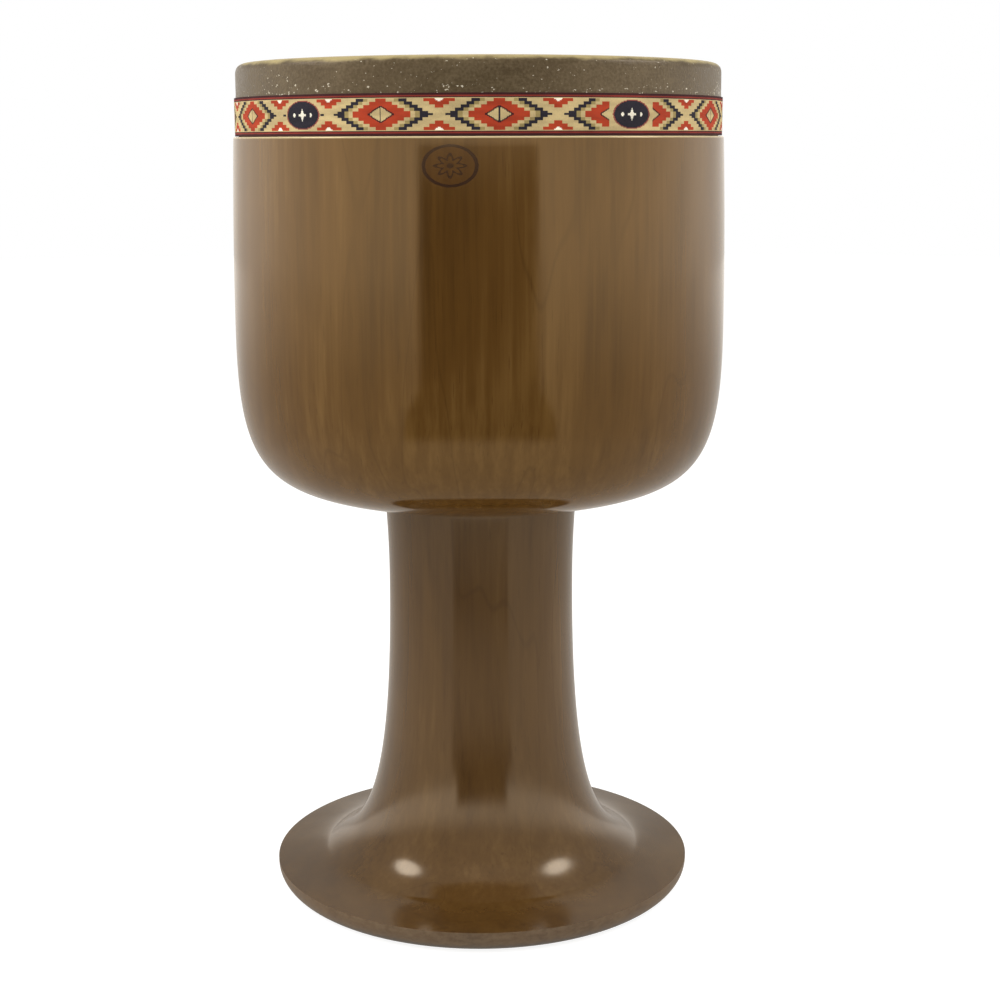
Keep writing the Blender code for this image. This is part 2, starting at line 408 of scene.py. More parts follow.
# Unlacquered wood in the bowl, the bore and the joint
bareFinish = {
    "dust": (0.26, 0.17, 0.09),
    "dustShare": 0.55,
    "roughness": 0.72,
    "bumpStrength": 0.5,
    "bumpDepth": 0.0004,
}


def bareWood(name, look):
    finish, tree, shader, coordinates = newFinish(name)
    colour, fibres = woodColour(tree, coordinates, look)
    feed(tree, shader, {
        "Base Color": mixColour(tree, bareFinish["dustShare"], colour, rgba(bareFinish["dust"])),
        "Roughness": bareFinish["roughness"],
        "Normal": bumped(tree, fibres, bareFinish["bumpStrength"], bareFinish["bumpDepth"]),
    })
    return finish


# Profile helpers, in (radius, height)
def arc(centre, radius, start, end, steps=8):
    angles = [math.radians(start + (end - start) * i / steps) for i in range(steps + 1)]
    return [(centre[0] + radius * math.cos(a), centre[1] + radius * math.sin(a)) for a in angles]


def bezier(p0, p1, p2, p3, steps):
    points = []
    for i in range(steps + 1):
        t = i / steps
        weights = ((1 - t) ** 3, 3 * t * (1 - t) ** 2, 3 * t * t * (1 - t), t ** 3)
        points.append(tuple(sum(w * p[k] for w, p in zip(weights, (p0, p1, p2, p3))) for k in (0, 1)))
    return points


def bowed(start, end, uprightAt, steps):
    points = []
    for i in range(steps + 1):
        t = i / steps
        share = (1 - t) ** 2 if uprightAt == "end" else 1 - t * t
        points.append((end[0] + (start[0] - end[0]) * share, start[1] + (end[1] - start[1]) * t))
    return points


# Turns a profile made of runs, each with the number of its finish
def turnPiece(name, runs, closed, finishes):
    profile = []
    slots = []
    for points, slot in runs:
        for point in points:
            if profile and math.dist(point, profile[-1]) < turning["samePoint"]:
                continue
            profile.append(point)
            slots.append(slot)
    count = turning["segments"]
    vertices = []
    rows = []
    for radius, height in profile:
        if radius < turning["samePoint"]:
            rows.append([len(vertices)])
            vertices.append((0.0, 0.0, height))
            continue
        rows.append(list(range(len(vertices), len(vertices) + count)))
        for i in range(count):
            angle = 2 * math.pi * i / count
            vertices.append((radius * math.cos(angle), radius * math.sin(angle), height))
    faces = []
    faceSlots = []
    last = len(rows) if closed else len(rows) - 1
    for j in range(last):
        here = rows[j]
        there = rows[(j + 1) % len(rows)]
        slot = slots[(j + 1) % len(rows)]
        for i in range(count):
            k = (i + 1) % count
            if len(here) == 1:
                faces.append((here[0], there[k], there[i]))
            elif len(there) == 1:
                faces.append((here[i], here[k], there[0]))
            else:
                faces.append((here[i], here[k], there[k], there[i]))
            faceSlots.append(slot)
    return makePiece(name, vertices, faces, faceSlots, finishes)


def makePiece(name, vertices, faces, faceSlots, finishes):
    mesh = bpy.data.meshes.new(name)
    mesh.from_pydata(vertices, [], faces)
    for finish in finishes:
        mesh.materials.append(finish)
    mesh.polygons.foreach_set("material_index", faceSlots)
    shape = bmesh.new()
    shape.from_mesh(mesh)
    bmesh.ops.recalc_face_normals(shape, faces=shape.faces)
    shape.to_mesh(mesh)
    shape.free()
    mesh.shade_smooth()
    mesh.set_sharp_from_angle(angle=turning["sharpAngle"])
    piece = bpy.data.objects.new(name, mesh)
    bpy.context.scene.collection.objects.link(piece)
    return piece


bowlShape = {
    "bellyRadius": measured(bowlBox[1].x),
    "bellyHeight": 0.333,
    "baseRadius": 0.070,
    "shoulderRadius": 0.1380,
    "shoulderRound": 0.0012,
    "wall": 0.013,
    "rimWall": 0.011,
    "floorRadius": 0.066,
    "rimRound": 0.004,
    "mouthRound": 0.002,
    "wallSteps": 24,
    "cornerSteps": 48,
    "innerCornerSteps": 32,
    "innerWallSteps": 12,
}


def makeBowl():
    s = bowlShape
    base, top = drum["throatHeight"], drum["bearingHeight"]
    ledge, rebate = drum["ledgeHeight"], drum["rebateRadius"]
    rise = s["bellyHeight"] - base
    innerBelly = s["bellyRadius"] - s["wall"]
    innerRise = s["bellyHeight"] - drum["floorHeight"]
    mouth = rebate - s["rimWall"]
    socket = drum["tenonRadius"] + drum["clearance"]
    innerReach = s["floorRadius"] + (innerBelly - s["floorRadius"]) * drum["cornerReach"]
    outerReach = s["baseRadius"] + (s["bellyRadius"] - s["baseRadius"]) * drum["cornerReach"]
    shoulderTop = (s["shoulderRadius"] - s["shoulderRound"], ledge - s["shoulderRound"])
    rim = arc((rebate - s["rimRound"], top - s["rimRound"]), s["rimRound"], 90, 0)
    outside = arc(shoulderTop, s["shoulderRound"], 90, 0)
    belly = (s["bellyRadius"], s["bellyHeight"])
    outside += bowed((s["shoulderRadius"], shoulderTop[1]), belly, "end", s["wallSteps"])
    outside += bezier(
        belly,
        (s["bellyRadius"], s["bellyHeight"] - rise * drum["cornerDrop"]),
        (outerReach, base),
        (s["baseRadius"], base),
        s["cornerSteps"],
    )
    inside = bezier(
        (s["floorRadius"], drum["floorHeight"]),
        (innerReach, drum["floorHeight"]),
        (innerBelly, s["bellyHeight"] - innerRise * drum["cornerDrop"]),
        (innerBelly, s["bellyHeight"]),
        s["innerCornerSteps"],
    )
    mouthEdge = (mouth, top - s["mouthRound"])
    inside += bowed((innerBelly, s["bellyHeight"]), mouthEdge, "start", s["innerWallSteps"])
    inside += arc((mouth + s["mouthRound"], top - s["mouthRound"]), s["mouthRound"], 180, 90, steps=4)
    runs = [
        (rim + [(rebate, ledge)], 1),
        (outside, 0),
        ([(socket, base), (socket, drum["floorHeight"])], 1),
        (inside, 1),
    ]
    finishes = [
        lacqueredWood("lacqueredBowlWood", bowlWood, marked=True),
        bareWood("bareBowlWood", bowlWood),
    ]
    bowl = turnPiece("turned_bowl", runs, True, finishes)
    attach(bowl, "root")
    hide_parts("bowl")
    print("bowl turned:", len(bowl.data.polygons), "faces")
    return bowl


throatShape = {
    "neckTopRadius": 0.056,
    "waistRadius": 0.0543,
    "waistHeight": 0.185,
    "cove": 0.0065,
    "coveLip": 0.001,
    "footRadius": measured(throatBox[1].x),
    "rimHeight": 0.0136,
    "edgeRound": 0.0118,
    "flangeWidth": 0.0303,
    "flareHeight": 0.0184,
    "flareSlope": math.radians(34),
    "flareLift": 0.89,
    "flareReach": 0.0234,
    "flareRunout": 0.0042,  # how far the slope carries on into the flange
    "rimSlope": math.radians(5),
    "rimReach": 0.0101,
    "boreRadius": 0.039,
    "bellDepth": 0.135,
    "bellLift": 0.70,
    "bellSlope": math.radians(22),
    "bellReach": 0.0265,
    "standWidth": 0.0095,
    "mouthEdgeRound": 0.0015,
    "tenonChamfer": 0.001,
    "neckSteps": 16,
    "flareSteps": 64,
    "flangeSteps": 24,
    "bellSteps": 40,
}


def makeThroat():
    s = throatShape
    seat = drum["throatHeight"] - drum["clearance"]
    tenon, floor = drum["tenonRadius"], drum["floorHeight"]
    coveBase = seat - s["coveLip"] - s["cove"]
    coveRadius = s["neckTopRadius"] + s["cove"]
    flareRadius = s["footRadius"] - s["flangeWidth"]
    standOuter = s["footRadius"] - s["edgeRound"]
    standInner = standOuter - s["standWidth"]
    bellMouth = standInner - s["mouthEdgeRound"]
    waist = (s["waistRadius"], s["waistHeight"])
    drop = s["waistHeight"] - s["flareHeight"]
    slope = s["flareSlope"]
    joint = [
        (tenon - s["tenonChamfer"], floor),
        (tenon, floor - s["tenonChamfer"]),
        (tenon, seat),
        (coveRadius, seat),
    ]
    outside = arc((coveRadius, coveBase), s["cove"], 90, 180)
    outside += bowed((s["neckTopRadius"], coveBase), waist, "end", s["neckSteps"])
    outside += bezier(
        waist,
        (s["waistRadius"], s["waistHeight"] - drop * s["flareLift"]),
        (
            flareRadius - s["flareReach"] * math.cos(slope),
            s["flareHeight"] + s["flareReach"] * math.sin(slope),
        ),
        (flareRadius, s["flareHeight"]),
        s["flareSteps"],
    )
    outside += bezier(
        (flareRadius, s["flareHeight"]),
        (flareRadius + s["flareRunout"], s["flareHeight"] - s["flareRunout"] * math.tan(slope)),
        (s["footRadius"] - s["rimReach"], s["rimHeight"] + s["rimReach"] * math.tan(s["rimSlope"])),
        (s["footRadius"], s["rimHeight"]),
        s["flangeSteps"],
    )
    edge = arc((standOuter, s["edgeRound"]), s["edgeRound"], 0, -90, steps=14)
    edge += arc((standInner, s["mouthEdgeRound"]), s["mouthEdgeRound"], 270, 180, steps=4)
    bell = bezier(
        (bellMouth, s["mouthEdgeRound"]),
        (
            bellMouth - s["bellReach"] * math.cos(s["bellSlope"]),
            s["mouthEdgeRound"] + s["bellReach"] * math.sin(s["bellSlope"]),
        ),
        (s["boreRadius"], s["bellDepth"] * (1 - s["bellLift"])),
        (s["boreRadius"], s["bellDepth"]),
        s["bellSteps"],
    )
    bell.append((s["boreRadius"], floor))
    runs = [(joint, 2), (outside, 0), (edge, 1), (bell, 2)]
    finishes = [
        lacqueredWood("lacqueredThroatWood", throatWood),
        wornWood("wornFootEdge", throatWood),
        bareWood("bareThroatWood", throatWood),
    ]
    throat = turnPiece("turned_throat", runs, True, finishes)
    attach(throat, "root")
    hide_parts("throat")
    print("throat turned:", len(throat.data.polygons), "faces")


# Colours, scales of noise and levels of the hide; its widths and depths are in metres
hide = {
    "collar": (0.047, 0.033, 0.0155),
    "collarPale": (0.092, 0.069, 0.038),
    "edge": (0.33, 0.27, 0.125),
    "face": (0.50, 0.42, 0.28),
    "faceDark": (0.41, 0.33, 0.205),
    "fleck": (0.52, 0.48, 0.38),
    "reflection": (1.0, 0.80, 0.60),
    "roughness": 0.27,
    "roughnessSpread": 0.22,
    "roughLevels": (0.3, 0.7),
    "blotches": (34.0, 34.0, 70.0),
    "scuffs": (90.0, 90.0, 900.0),
    "scuffLevels": (0.45, 0.75),
    "scuffShare": 0.35,
    "grain": (700.0, 700.0, 700.0),
    "grainRelief": 0.6,
    "mottleLevels": (0.38, 0.66),
    "flecks": (430.0, 430.0, 620.0),
    "flecksPlace": (0.7, 0.2, 0.4),
    "fleckLevels": (0.70, 0.75),
    "fleckShare": 0.9,
    "patches": (17.0, 17.0, 30.0),
    "patchesPlace": (0.9, 0.0, 0.0),
    "patchLevels": (0.48, 0.68),
    "patchReach": 0.07,
    "fleckBand": (0.0017, 0.0057),  # above the ribbon
    "fleckBandShare": 0.8,
    "clouds": (15.0, 15.0, 15.0),
    "cloudLevels": (0.35, 0.7),
    "rubbedBand": (0.0028, 0.0003),  # below the playing face
    "rubbedWander": 0.006,
    "faceEdge": (0.0025, 0.0055),  # in from the outside of the collar, and so is the ring
    "ringPlace": 0.0098,
    "ringWidth": 0.004,
    "ringShare": 0.35,
    "bumpStrength": 0.5,
    "bumpDepth": 0.0006,
    "dents": 60.0,
    "dentDepth": 0.00022,
    "dentsAbove": 0.001,  # over the top of the ribbon
    "dentsWithin": 0.0004,  # of the outside of the collar
}


def hideFinish():
    h = hide
    finish, tree, shader, coordinates = newFinish("stretchedHide")
    parts = splitParts(tree, coordinates)
    away = awayFrom(tree, parts["X"], parts["Y"])
    blotches = noiseAt(tree, coordinates, h["blotches"], detail=5.0, roughness=0.65)
    scuffs = noiseAt(tree, coordinates, h["scuffs"], detail=3.0, roughness=0.6)
    grain = noiseAt(tree, coordinates, h["grain"], detail=2.0)
    mottled = maths(tree, "MULTIPLY", maths(tree, "ADD", blotches, grain), 0.5)
    pale = remap(tree, mottled, *h["mottleLevels"])
    collar = mixColour(tree, pale, rgba(h["collar"]), rgba(h["collarPale"]))
    scuffed = remap(tree, scuffs, *h["scuffLevels"], 0.0, h["scuffShare"])
    collar = mixColour(tree, scuffed, collar, rgba(h["collarPale"]))
    # White flecks gather low on the collar, by the ribbon, and in one worn patch
    flecks = noiseAt(tree, coordinates, h["flecks"], detail=2.0, roughness=0.7, place=h["flecksPlace"])
    patches = noiseAt(tree, coordinates, h["patches"], detail=2.0, place=h["patchesPlace"])
    ribbonTop = drum["headHeight"] - drum["collarHeight"]
    low, high = (ribbonTop + rise for rise in h["fleckBand"])
    byRibbon = remap(tree, parts["Z"], low, high, h["fleckBandShare"], 0.0)
    gathered = maths(tree, "ADD", remap(tree, patches, *h["patchLevels"]), byRibbon)
    level = maths(tree, "ADD", flecks, maths(tree, "MULTIPLY", gathered, h["patchReach"]))
    flecked = remap(tree, level, *h["fleckLevels"], 0.0, h["fleckShare"])
    collar = mixColour(tree, flecked, collar, rgba(h["fleck"]))
    # The rounded edge is rubbed back to cream, and the playing face is paler still
    low, high = (drum["headHeight"] - depth for depth in h["rubbedBand"])
    rubbed = remap(tree, swayed(tree, parts["Z"], blotches, h["rubbedWander"]), low, high)
    worn = mixColour(tree, rubbed, collar, rgba(h["edge"]))
    clouds = noiseAt(tree, coordinates, h["clouds"], detail=5.0, roughness=0.55, distortion=0.2)
    face = mixColour(tree, remap(tree, clouds, *h["cloudLevels"]), rgba(h["face"]), rgba(h["faceDark"]))
    fromRing = apart(tree, away, drum["skinOuter"] - h["ringPlace"])
    ring = remap(tree, fromRing, 0.0, h["ringWidth"], h["ringShare"], 0.0)
    face = mixColour(tree, ring, face, rgba(h["faceDark"]))
    outer, inner = (drum["skinOuter"] - reach for reach in h["faceEdge"])
    relief = maths(tree, "ADD", maths(tree, "MULTIPLY", grain, h["grainRelief"]), blotches)
    rough = h["roughness"]
    feed(tree, shader, {
        "Base Color": mixColour(tree, remap(tree, away, outer, inner), worn, face),
        "Roughness": remap(tree, mottled, *h["roughLevels"], rough, rough + h["roughnessSpread"]),
        "Specular Tint": rgba(h["reflection"]),
        "Normal": bumped(tree, relief, h["bumpStrength"], h["bumpDepth"]),
    })
    return finish


# One hide: playing face, turned over the edge and down behind the ribbon
def makeSkin():
    edgeHeight = drum["ledgeHeight"] + drum["clearance"]
    innerRound = bowlShape["rimRound"] + drum["clearance"]
    outerRound = innerRound + drum["skinThickness"]
    top = drum["headHeight"]
    flat = drum["skinOuter"] - outerRound
    roundHeight = top - outerRound
    drop = roundHeight - edgeHeight
    faceSteps, collarSteps = 40, 24
    outside = [(flat * i / faceSteps, top) for i in range(faceSteps)]
    outside += arc((flat, roundHeight), outerRound, 90, 0, steps=12)
    collar = [(drum["skinOuter"], roundHeight - drop * i / collarSteps) for i in range(collarSteps + 1)]
    inside = [(drum["skinInner"], edgeHeight)]
    inside += arc((drum["skinInner"] - innerRound, roundHeight), innerRound, 0, 90, steps=12)
    inside += [(0.0, top - drum["skinThickness"])]
    skin = turnPiece("hide_head", [(outside, 0), (collar, 0), (inside, 0)], False, [hideFinish()])
    # The hide dries unevenly over the edge: shallow dents, never outwards
    lowest = drum["ledgeHeight"] + drum["ribbonWidth"] + hide["dentsAbove"]
    nearest = drum["skinOuter"] - hide["dentsWithin"]
    for vertex in skin.data.vertices:
        reach = math.hypot(vertex.co.x, vertex.co.y)
        if reach > nearest and vertex.co.z > lowest:
            dent = hide["dentDepth"] * (0.5 + 0.5 * noise.noise(vertex.co * hide["dents"]))
            share = (reach - dent) / reach
            vertex.co.x *= share
            vertex.co.y *= share
    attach(skin, "root")
    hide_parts("skin_head")
    print("skin stretched")
    return skin


# A woven band of stepped diamonds. Lengths here are in millimetres along and across the band
ribbonShape = {
    "thickness": 0.0006,
    "lapLength": 0.0145,
    "lapRamp": 0.029,
    "columns": 1840,
    "borders": ((1.05, "maroon"), (0.70, "scarlet"), (0.50, "maroon"), (0.35, "cream")),
    "fieldRows": 30,
    "step": 1.53,  # height of one step of the pattern, three threads
    "topStep": 4,
    "halfDiamond": 30.0,
    "shortMedallion": 18.0,
    "longMedallion": 42.5,
    "firstUnit": -73.6,  # degrees from the front to where the row of units below starts
    "warpPitch": 0.95,
    "weftPitch": 0.51,
}
# Each unit ends at a crossing; the widths are degrees round the collar
ribbonUnits = (
    ("diamond", 25.1),
    ("shortMedallion", 15.0),
    ("diamond", 25.3),
    ("diamond", 24.9),
    ("longMedallion", 35.4),
    ("diamond", 25.5),
)
yarns = {
    "navy": (0.016, 0.014, 0.022),
    "maroon": (0.040, 0.009, 0.011),
    "scarlet": (0.200, 0.024, 0.016),
    "orange": (0.350, 0.038, 0.012),
    "khaki": (0.285, 0.220, 0.085),
    "cream": (0.470, 0.365, 0.180),
    "white": (0.780, 0.740, 0.620),
    "rose": (0.230, 0.055, 0.045),
}
yarnOrder = list(yarns)
# Stepped half-diamonds hang from both edges where two units meet, with a white point in each
crossing = {
    "halfWidth": 7.9,
    "stepIn": 2.8,
    "lowestStep": 2,
    "pointHalfWidth": 2.3,
    "pointBase": 7.65,
    "pointHeight": 2.0,
}
# A diamond, from the outside in: navy bar to the next one, navy steps, khaki, orange and a lozenge
diamond = {
    "halfWidth": 24.4,
    "barEnd": 26.8,
    "barHalfHeight": 0.55,
    "navyFrom": 20.4,
    "navyStepIn": 2.7,
    "navyWidth": 4.2,
    "khakiWidth": 2.4,
    "lozengeHalfWidth": 6.2,
    "lozengeHalfHeight": 3.6,
    "lozengeOutline": 1.22,
    "slitHalfWidth": 0.28,
    "orangeTo": 15.4,
    "orangeStepIn": 3.1,
}
# A dark oval with a plain star in it and a dot to each side
medallion = {
    "halfWidth": 12.0,
    "halfHeight": 7.3,
    "rim": 0.93,
    "starReach": 3.2,
    "starPinch": 1.6,
    "dotPlace": 6.1,
    "dotRadius": 0.9,
    "shortBar": (3.0, 5.4),  # from the crossing, beside an oval in a short unit
    "longGap": 1.4,  # cream between an oval and the half-diamonds of a long unit
    "longTopGap": 4.0,
}


def stepOf(high):
    return min(ribbonShape["topStep"], int(high / ribbonShape["step"]))


def crossingYarn(gap, row, high):
    c = crossing
    top = ribbonShape["topStep"]
    if row == top and gap < c["pointHalfWidth"] * (1 - (c["pointBase"] - high) / c["pointHeight"]):
        return "white"
    if row >= c["lowestStep"] and gap < c["halfWidth"] - c["stepIn"] * (top - row):
        return "orange"
    return None


def diamondYarn(out, high):
    d = diamond
    row = stepOf(high)
    crossed = crossingYarn(ribbonShape["halfDiamond"] - out, row, high)
    if crossed:
        return crossed
    if out > d["halfWidth"]:
        return "navy" if high < d["barHalfHeight"] and out < d["barEnd"] else "cream"
    inner = d["navyFrom"] - d["navyStepIn"] * row
    if out > inner:
        return "navy" if row == 0 or out < inner + d["navyWidth"] else "cream"
    if out > inner - d["khakiWidth"]:
        return "khaki"
    lozenge = out / d["lozengeHalfWidth"] + high / d["lozengeHalfHeight"]
    if lozenge < 1.0:
        return "navy" if out < d["slitHalfWidth"] else "cream"
    if lozenge < d["lozengeOutline"]:
        return "maroon"
    return "orange" if out < d["orangeTo"] - d["orangeStepIn"] * row else "cream"


def medallionYarn(out, high):
    m = medallion
    away = math.hypot(out / m["halfWidth"], high / m["halfHeight"])
    if away > 1.0:
        return None
    if away > m["rim"]:
        return "rose"
    reach = m["starReach"]
    star = out / reach + high / reach + m["starPinch"] * min(out, high) / reach
    if star < 1.0 or math.hypot(out - m["dotPlace"], high) < m["dotRadius"]:
        return "white"
    return "navy"


def fieldYarn(kind, out, high):
    if kind == "diamond":
        return diamondYarn(out, high)
    oval = medallionYarn(out, high)
    if oval:
        return oval
    row = stepOf(high)
    if kind == "shortMedallion":
        gap = ribbonShape["shortMedallion"] - out
        crossed = crossingYarn(gap, row, high)
        if crossed:
            return crossed
        near, far = medallion["shortBar"]
        return "navy" if high < diamond["barHalfHeight"] and near < gap < far else "cream"
    beyond = out - (ribbonShape["longMedallion"] - ribbonShape["halfDiamond"])
    if beyond > medallion["longGap"] and (row < ribbonShape["topStep"] or beyond > medallion["longTopGap"]):
        return diamondYarn(beyond, high)
    return "cream"


def ribbonRows():
    # Heights of the rows from the lower edge, and the border yarn or the distance from the middle
    width = drum["ribbonWidth"] * 1000
    rows = []
    height = 0.0
    for size, yarn in ribbonShape["borders"]:
        rows.append((height, yarn, None))
        height += size
    field = width - 2 * height
    for i in range(ribbonShape["fieldRows"]):
        low = height + field * i / ribbonShape["fieldRows"]
        middle = low + field / ribbonShape["fieldRows"] / 2
        rows.append((low, None, abs(middle - width / 2)))
    low = height + field
    for size, yarn in reversed(ribbonShape["borders"]):
        rows.append((low, yarn, None))
        low += size
    return rows, width


def unitAt(degrees):
    # Which unit of the row lies at this angle from the front, and how far from its middle, in shares
    total = sum(width for kind, width in ribbonUnits)
    along = (degrees - ribbonShape["firstUnit"]) % total
    for kind, width in ribbonUnits:
        if along < width:
            return kind, abs(along - width / 2) / (width / 2)
        along -= width
    return ribbonUnits[-1][0], 1.0


weaveLook = {
    "fuzz": (1500.0, 1500.0, 1500.0),
    "fuzzReach": 0.35,
    "dye": (60.0, 60.0, 260.0),
    "dyeShades": (0.78, 1.05),
    "crossedShade": 0.07,
    "dyeLevels": (0.3, 0.7),
    "weftRelief": 0.6,
    "fuzzLevels": (0.3, 0.7),
    "roughness": (0.70, 0.9),
    "specular": 0.25,
    "bumpStrength": 0.45,
    "bumpDepth": 0.00015,
}


def wovenFinish():
    w = weaveLook
    finish, tree, shader, coordinates = newFinish("wovenBand")
    yarn = addNode(tree, "ShaderNodeAttribute", attribute_name="yarn").outputs["Fac"]
    ramp = addNode(tree, "ShaderNodeValToRGB", {"Fac": yarn})
    ramp.color_ramp.interpolation = "CONSTANT"
    stops = ramp.color_ramp.elements
    while len(stops) < len(yarnOrder):
        stops.new(0.5)
    # All the places first, because a stop that moves past another changes its number
    for i, name in enumerate(yarnOrder):
        stops[i].position = i / len(yarnOrder)
    for i, name in enumerate(yarnOrder):
        stops[i].color = rgba(yarns[name])
    place = splitParts(tree, addNode(tree, "ShaderNodeAttribute", attribute_name="weave").outputs["Vector"])
    warp = maths(tree, "SINE", maths(tree, "MULTIPLY", place["X"], 2 * math.pi / ribbonShape["warpPitch"]))
    weft = maths(tree, "SINE", maths(tree, "MULTIPLY", place["Y"], 2 * math.pi / ribbonShape["weftPitch"]))
    crossed = maths(tree, "MULTIPLY", warp, weft)
    relief = maths(tree, "ADD", maths(tree, "MULTIPLY", weft, w["weftRelief"]), crossed)
    fuzz = noiseAt(tree, coordinates, w["fuzz"], detail=2.0)
    dye = remap(tree, noiseAt(tree, coordinates, w["dye"], detail=3.0), *w["dyeLevels"], *w["dyeShades"])
    shade = maths(tree, "ADD", dye, maths(tree, "MULTIPLY", crossed, w["crossedShade"]))
    shade = swayed(tree, shade, fuzz, w["fuzzReach"])
    shades = addNode(tree, "ShaderNodeCombineColor", {0: shade, 1: shade, 2: shade}).outputs[0]
    feed(tree, shader, {
        "Base Color": mixColour(tree, 1.0, ramp.outputs["Color"], shades, "MULTIPLY"),
        "Roughness": remap(tree, fuzz, *w["fuzzLevels"], *w["roughness"]),
        "Specular IOR Level": w["specular"],
        "Normal": bumped(tree, relief, w["bumpStrength"], w["bumpDepth"]),
    })
    return finish


def makeRibbon():
    s = ribbonShape
    bottom = drum["ledgeHeight"] + drum["clearance"]
    inner = drum["skinOuter"] + drum["clearance"]
    rows, width = ribbonRows()
    levels = [bottom + low / 1000 for low, yarn, high in rows] + [bottom + drum["ribbonWidth"]]
    lapAngle = s["lapLength"] / inner
    rampAngle = s["lapRamp"] / inner
    lapRise = s["thickness"] + drum["clearance"]
    whole = 2 * math.pi
    turns = [(whole + lapAngle) * i / s["columns"] for i in range(s["columns"] + 1)]
    vertices = []
    for turn in turns:
        climbed = min(1.0, max(0.0, (turn - whole + rampAngle) / rampAngle))
        radius = inner + lapRise * climbed
        x, y = math.cos(math.pi / 2 + turn), math.sin(math.pi / 2 + turn)
        vertices += [((radius + s["thickness"]) * x, (radius + s["thickness"]) * y, z) for z in levels]
        vertices += [(radius * x, radius * y, z) for z in (levels[0], levels[-1])]
    stride = len(levels) + 2
    top = len(levels) - 1
    faces = []
    values = []
    halves = {
        "diamond": s["halfDiamond"],
        "shortMedallion": s["shortMedallion"],
        "longMedallion": s["longMedallion"],
    }
    for i in range(s["columns"]):
        a, b = i * stride, (i + 1) * stride
        middle = (turns[i] + turns[i + 1]) / 2
        kind, share = unitAt(math.degrees(middle) - 180)
        for j, (low, yarn, high) in enumerate(rows):
            faces.append((a + j, b + j, b + j + 1, a + j + 1))
            name = yarn or fieldYarn(kind, share * halves[kind], high)
            values.append(yarnOrder.index(name))
        # Upper edge, the khaki side that lies on the skin, and lower edge
        others = ((top, top + 2, "maroon"), (top + 2, top + 1, "khaki"), (top + 1, 0, "maroon"))
        for near, far, yarn in others:
            faces.append((a + near, b + near, b + far, a + far))
            values.append(yarnOrder.index(yarn))
    for end in (0, len(turns) - 1):
        start = end * stride
        faces.append([start + j for j in range(top + 1)] + [start + top + 2, start + top + 1])
        values.append(yarnOrder.index("maroon"))
    mesh = bpy.data.meshes.new("woven_ribbon")
    mesh.from_pydata(vertices, [], faces)
    yarnData = mesh.attributes.new("yarn", "FLOAT", "FACE")
    yarnData.data.foreach_set("value", [(v + 0.5) / len(yarnOrder) for v in values])
    weaveData = mesh.attributes.new("weave", "FLOAT_VECTOR", "POINT")
    weave = []
    for turn in turns:
        along = turn * inner * 1000
        for z in levels:
            weave += [along, (z - bottom) * 1000, 0.0]
        weave += [along, 0.0, 0.0, along, width, 0.0]
    weaveData.data.foreach_set("vector", weave)
    mesh.materials.append(wovenFinish())
    mesh.shade_smooth()
    mesh.set_sharp_from_angle(angle=turning["sharpAngle"])
    ribbon = bpy.data.objects.new("woven_ribbon", mesh)
    bpy.context.scene.collection.objects.link(ribbon)
    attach(ribbon, "root")
    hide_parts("ribbon")
    print("ribbon woven:", len(faces), "faces")


# White studio: pale all round, except for a dark gap behind the camera, which the lacquer mirrors.
# Heights on the world are the z of a direction, and levels are brightness
studio = {
    "gapEdge": math.radians(26.5),
    "gapSoftness": math.radians(1.6),
    "gapTop": (0.03, 0.13),
    "gapLevel": 0.05,
    "nearWidening": 0.055,  # the gap is wider on the floor near the drum
    "nearReach": (0.8, 1.8),
    "lowLevel": 0.62,  # near the floor
    "highLevel": 1.60,  # at eye level, in the side panels
    "backLevel": 1.05,  # at eye level, behind the drum
    "upperLevel": 0.55,
    "backTurn": (-0.85, -0.35),
    "eyeHeights": (-0.20, 0.0),
    "upperHeights": (0.08, 0.34),
    "warmth": (1.0, 0.94, 0.86),  # of what the lacquer mirrors
    "floorRadius": 6.0,
    "nearLevel": 0.70,
    "horizonLevel": 1.15,
    "openFloor": (0.8, 5.5),
    "paperEdge": 0.70,  # how far the white paper reaches in front of the drum
    "paperSoftness": 0.09,
    "paper": 0.82,
    "seenPaper": 0.30,  # to the camera the paper is partly a glow, so that it stays white
    "seenGlow": 0.87,
}
# Two small lamps high at the sides make the bright spots on the foot
sideLamps = {
    "distance": 1.5,
    "elevation": math.radians(50),
    "azimuth": math.radians(85),
    "size": 0.46,
    "power": 3.2,
    "aim": (0.0, 0.0, 0.03),
}
# Soft lamps that only light, and aren't mirrored: one over the front and one at each side
fillLamps = (
    {"place": (0.0, -0.9, 2.1), "aim": (0.0, 0.0, 0.25), "size": 1.2, "power": 23.0},
    {"place": (-1.2, -0.25, 0.75), "aim": (0.0, 0.0, 0.38), "size": 0.8, "power": 9.0},
    {"place": (1.2, -0.25, 0.75), "aim": (0.0, 0.0, 0.38), "size": 0.8, "power": 5.0},
)


def frontness(tree, direction):
    # 1 towards the front, -1 towards the back
    parts = splitParts(tree, direction)
    length = awayFrom(tree, parts["X"], parts["Y"])
    toFront = maths(tree, "MULTIPLY", parts["Y"], -1.0)
    return maths(tree, "DIVIDE", toFront, maths(tree, "MAXIMUM", length, 1e-6)), parts["Z"]


def gapMask(tree, front):
    edge, softness = studio["gapEdge"], studio["gapSoftness"]
    return remap(tree, front, math.cos(edge + softness), math.cos(edge - softness))


def hang(name, lamp, place, aim):
    made = bpy.data.objects.new(name, lamp)
    made.location = place
    made.rotation_euler = (Vector(aim) - place).to_track_quat("-Z", "Y").to_euler()
    bpy.context.scene.collection.objects.link(made)
    return made


